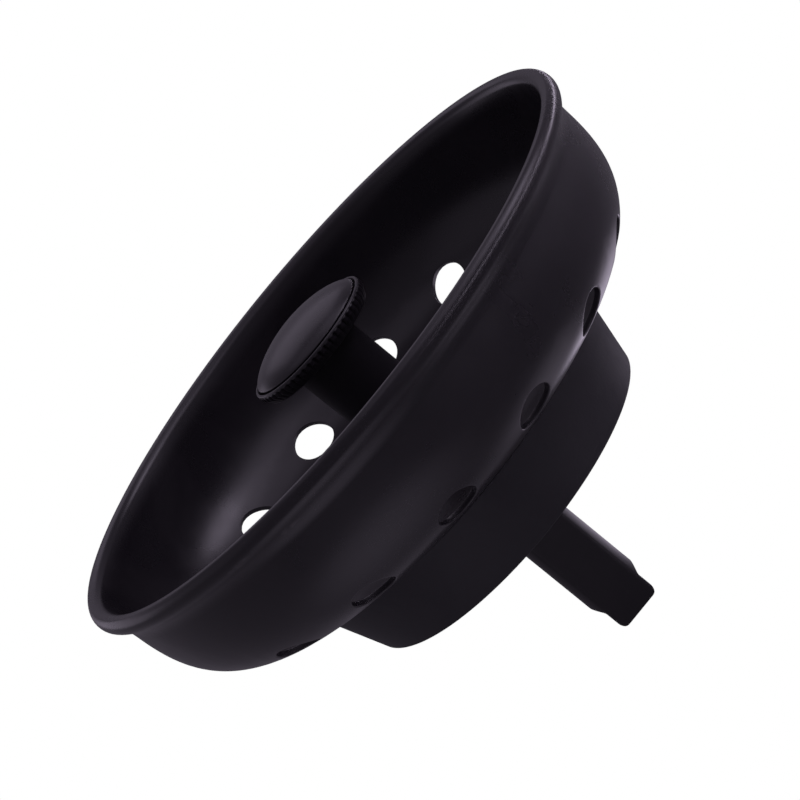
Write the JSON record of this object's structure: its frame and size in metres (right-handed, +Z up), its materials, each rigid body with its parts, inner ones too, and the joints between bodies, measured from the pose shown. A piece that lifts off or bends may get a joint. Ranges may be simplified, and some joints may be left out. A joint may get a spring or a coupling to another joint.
{
  "type": "kitchen sink basket strainer",
  "caption": "Black kitchen sink basket strainer: a pressed cup with a ring of drain holes, a domed knurled lift knob on a stem, a tapered rubber stopper and a flat-sided post.",
  "frame": {"origin": "on the stem's axis, in the plane of the rubber stopper's flat underside, which seats in the drain", "axes": "+Z up the stem from the post to the knob; the post's two flats face -Y and +Y"},
  "size_m": [0.081, 0.081, 0.0538],
  "materials": {
    "basket": "satin black coating on pressed stainless steel, worn slightly brighter on the rolled lip",
    "knob": "satin black coating on a turned and knurled head",
    "knob_cap": "satin black coating on a smooth domed disc",
    "stem": "satin black coating on a turned tube",
    "post": "satin black coating on a milled bar",
    "stopper": "matt moulded black rubber",
    "o_ring": "smooth black rubber",
    "washer": "plain stainless steel",
    "stud": "plain stainless steel, rolled thread",
    "nylon": "natural white nylon"
  },
  "bodies": {
    "strainer": {"basket": "basket", "stopper": "stopper", "spindle_o_ring": "o_ring", "spacer_bush": "nylon", "stopper_washer": "washer", "thrust_washer": "nylon"},
    "spindle": {"stem_sleeve": "stem", "lock_washer": "washer", "centre_stud": "stud", "knob": "knob", "knob_cap": "knob_cap", "post": "post"}
  },
  "joints": [
    {"name": "spindle_turn", "type": "hinge", "parent": "strainer", "child": "spindle", "pos_m": [0, 0, 0.0098], "axis": [0, 0, 1], "continuous": true}
  ]
}
